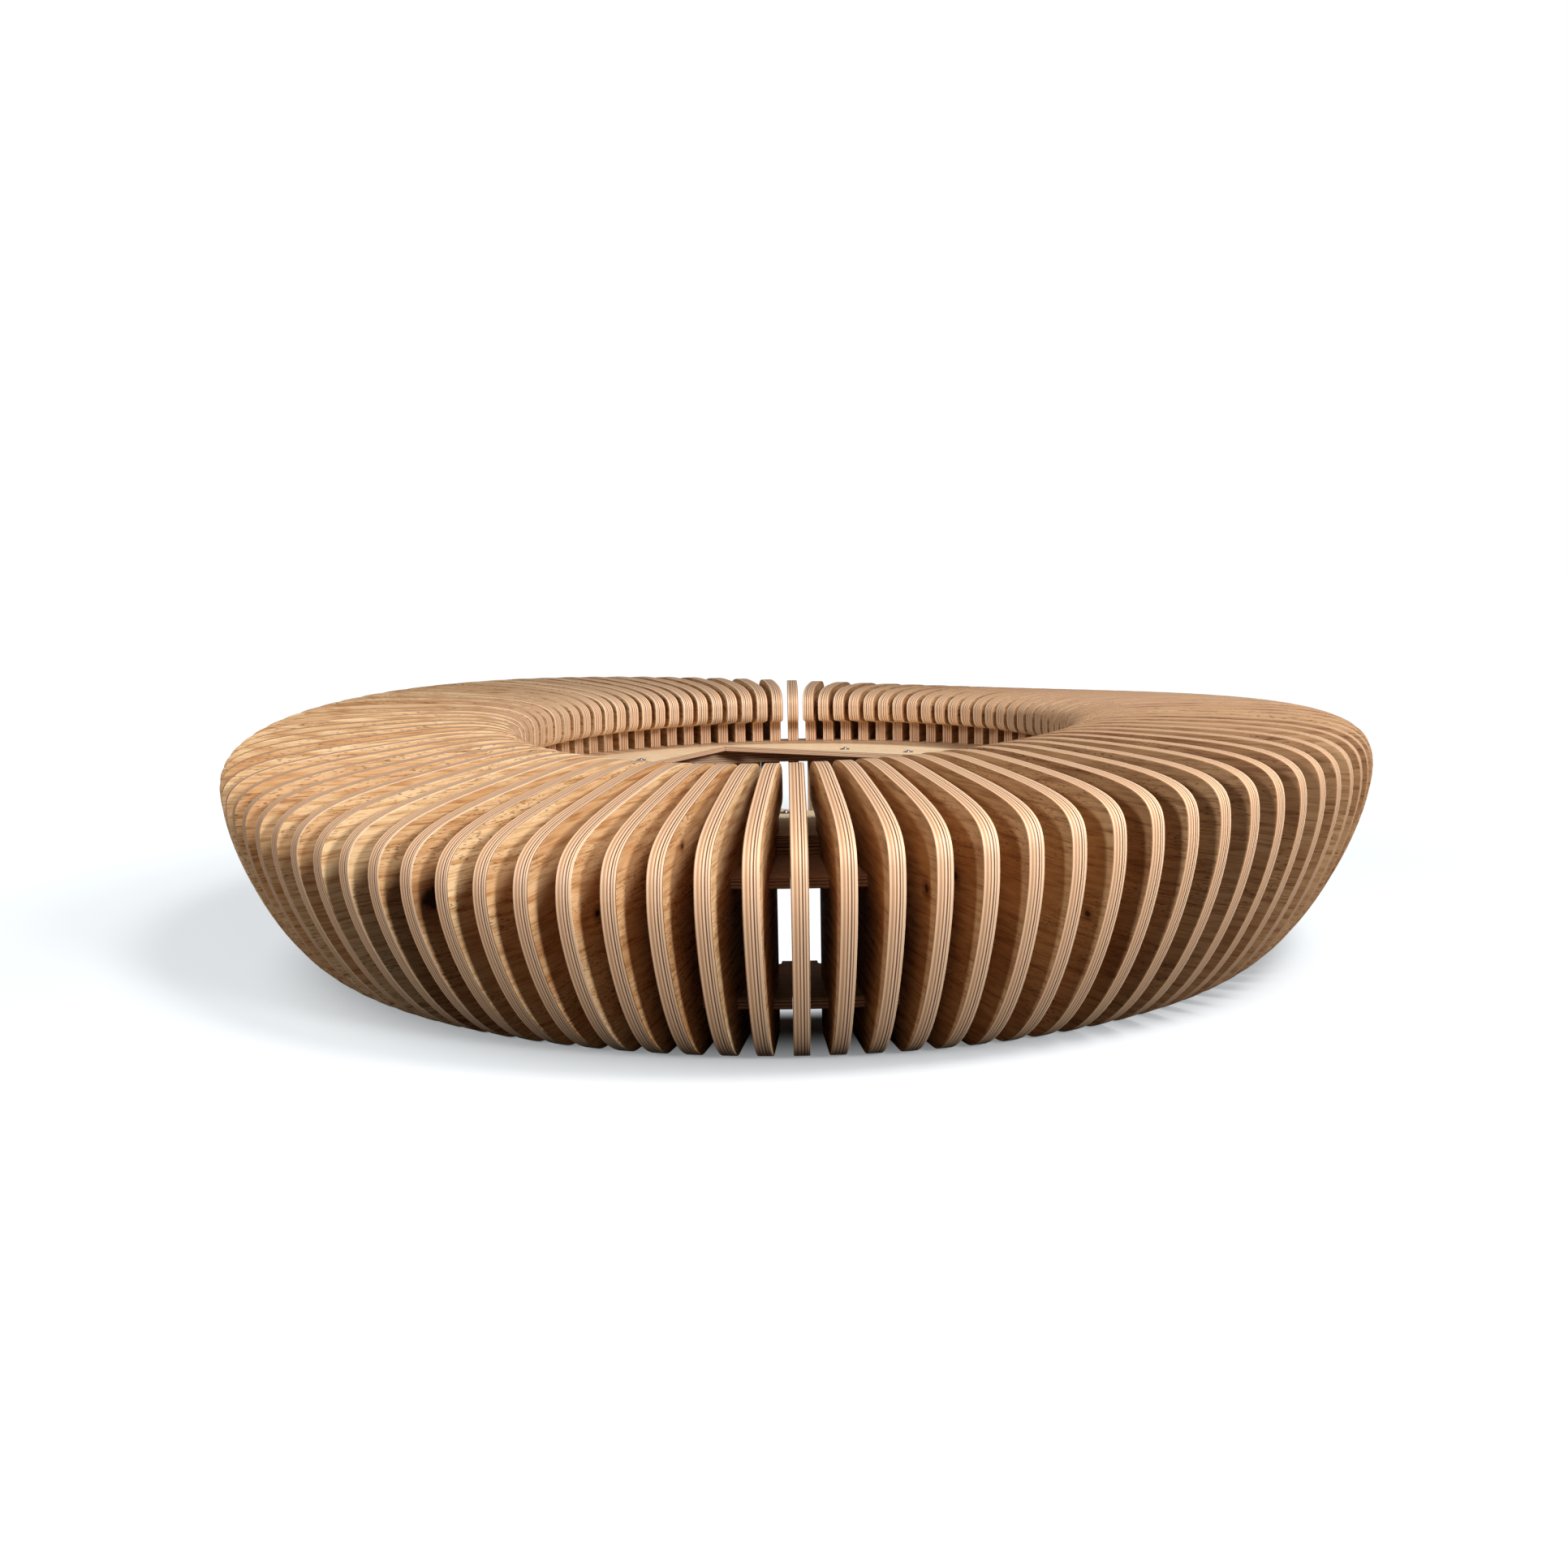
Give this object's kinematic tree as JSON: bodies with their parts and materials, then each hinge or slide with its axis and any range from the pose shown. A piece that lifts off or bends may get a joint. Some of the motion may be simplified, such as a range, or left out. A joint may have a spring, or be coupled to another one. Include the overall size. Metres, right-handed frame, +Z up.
{
  "type": "tree bench",
  "caption": "Ring bench of radial plywood ribs on two flat rings, with a flowing seat around a middle that is open for a tree.",
  "frame": {"origin": "on the floor, at the middle of the overall box", "axes": "+Z up, -Y towards the front of the bench, where it is narrowest; +X to the right seen from the front"},
  "size_m": [2.3818, 2.3744, 0.5045],
  "materials": {
    "rib_plywood": "satin",
    "ring_plywood": "matte",
    "cover_plywood": "satin",
    "screw_steel": "satin"
  },
  "bodies": {
    "root": {"ribs_01": "rib_plywood", "ribs_02": "rib_plywood", "ribs_03": "rib_plywood", "ribs_04": "rib_plywood", "ribs_05": "rib_plywood", "ribs_06": "rib_plywood", "ribs_07": "rib_plywood", "ribs_08": "rib_plywood", "ribs_09": "rib_plywood", "ribs_10": "rib_plywood", "ribs_11": "rib_plywood", "ribs_12": "rib_plywood", "ribs_13": "rib_plywood", "ribs_14": "rib_plywood", "ribs_15": "rib_plywood", "ribs_16": "rib_plywood", "ribs_17": "rib_plywood", "ribs_18": "rib_plywood", "ribs_19": "rib_plywood", "ribs_20": "rib_plywood", "ribs_21": "rib_plywood", "ribs_22": "rib_plywood", "ribs_23": "rib_plywood", "ribs_24": "rib_plywood", "ribs_25": "rib_plywood", "ribs_26": "rib_plywood", "ribs_27": "rib_plywood", "ribs_28": "rib_plywood", "ribs_29": "rib_plywood", "ribs_30": "rib_plywood", "ribs_31": "rib_plywood", "ribs_32": "rib_plywood", "lower_ring_1": "ring_plywood", "lower_ring_2": "ring_plywood", "lower_ring_3": "ring_plywood", "lower_ring_4": "ring_plywood", "lower_ring_5": "ring_plywood", "lower_ring_6": "ring_plywood", "lower_splices": "ring_plywood", "upper_ring_1": "ring_plywood", "upper_ring_2": "ring_plywood", "upper_ring_3": "ring_plywood", "upper_ring_4": "ring_plywood", "upper_ring_5": "ring_plywood", "upper_ring_6": "ring_plywood", "packer_1": "ring_plywood", "packer_2": "ring_plywood", "packer_3": "ring_plywood", "packer_4": "ring_plywood", "packer_5": "ring_plywood", "packer_6": "ring_plywood", "cover_board_1": "cover_plywood", "cover_board_2": "cover_plywood", "cover_board_3": "cover_plywood", "cover_board_4": "cover_plywood", "cover_battens": "ring_plywood", "cover_screws": "screw_steel", "packer_screws": "screw_steel", "splice_screws": "screw_steel"}
  },
  "joints": []
}
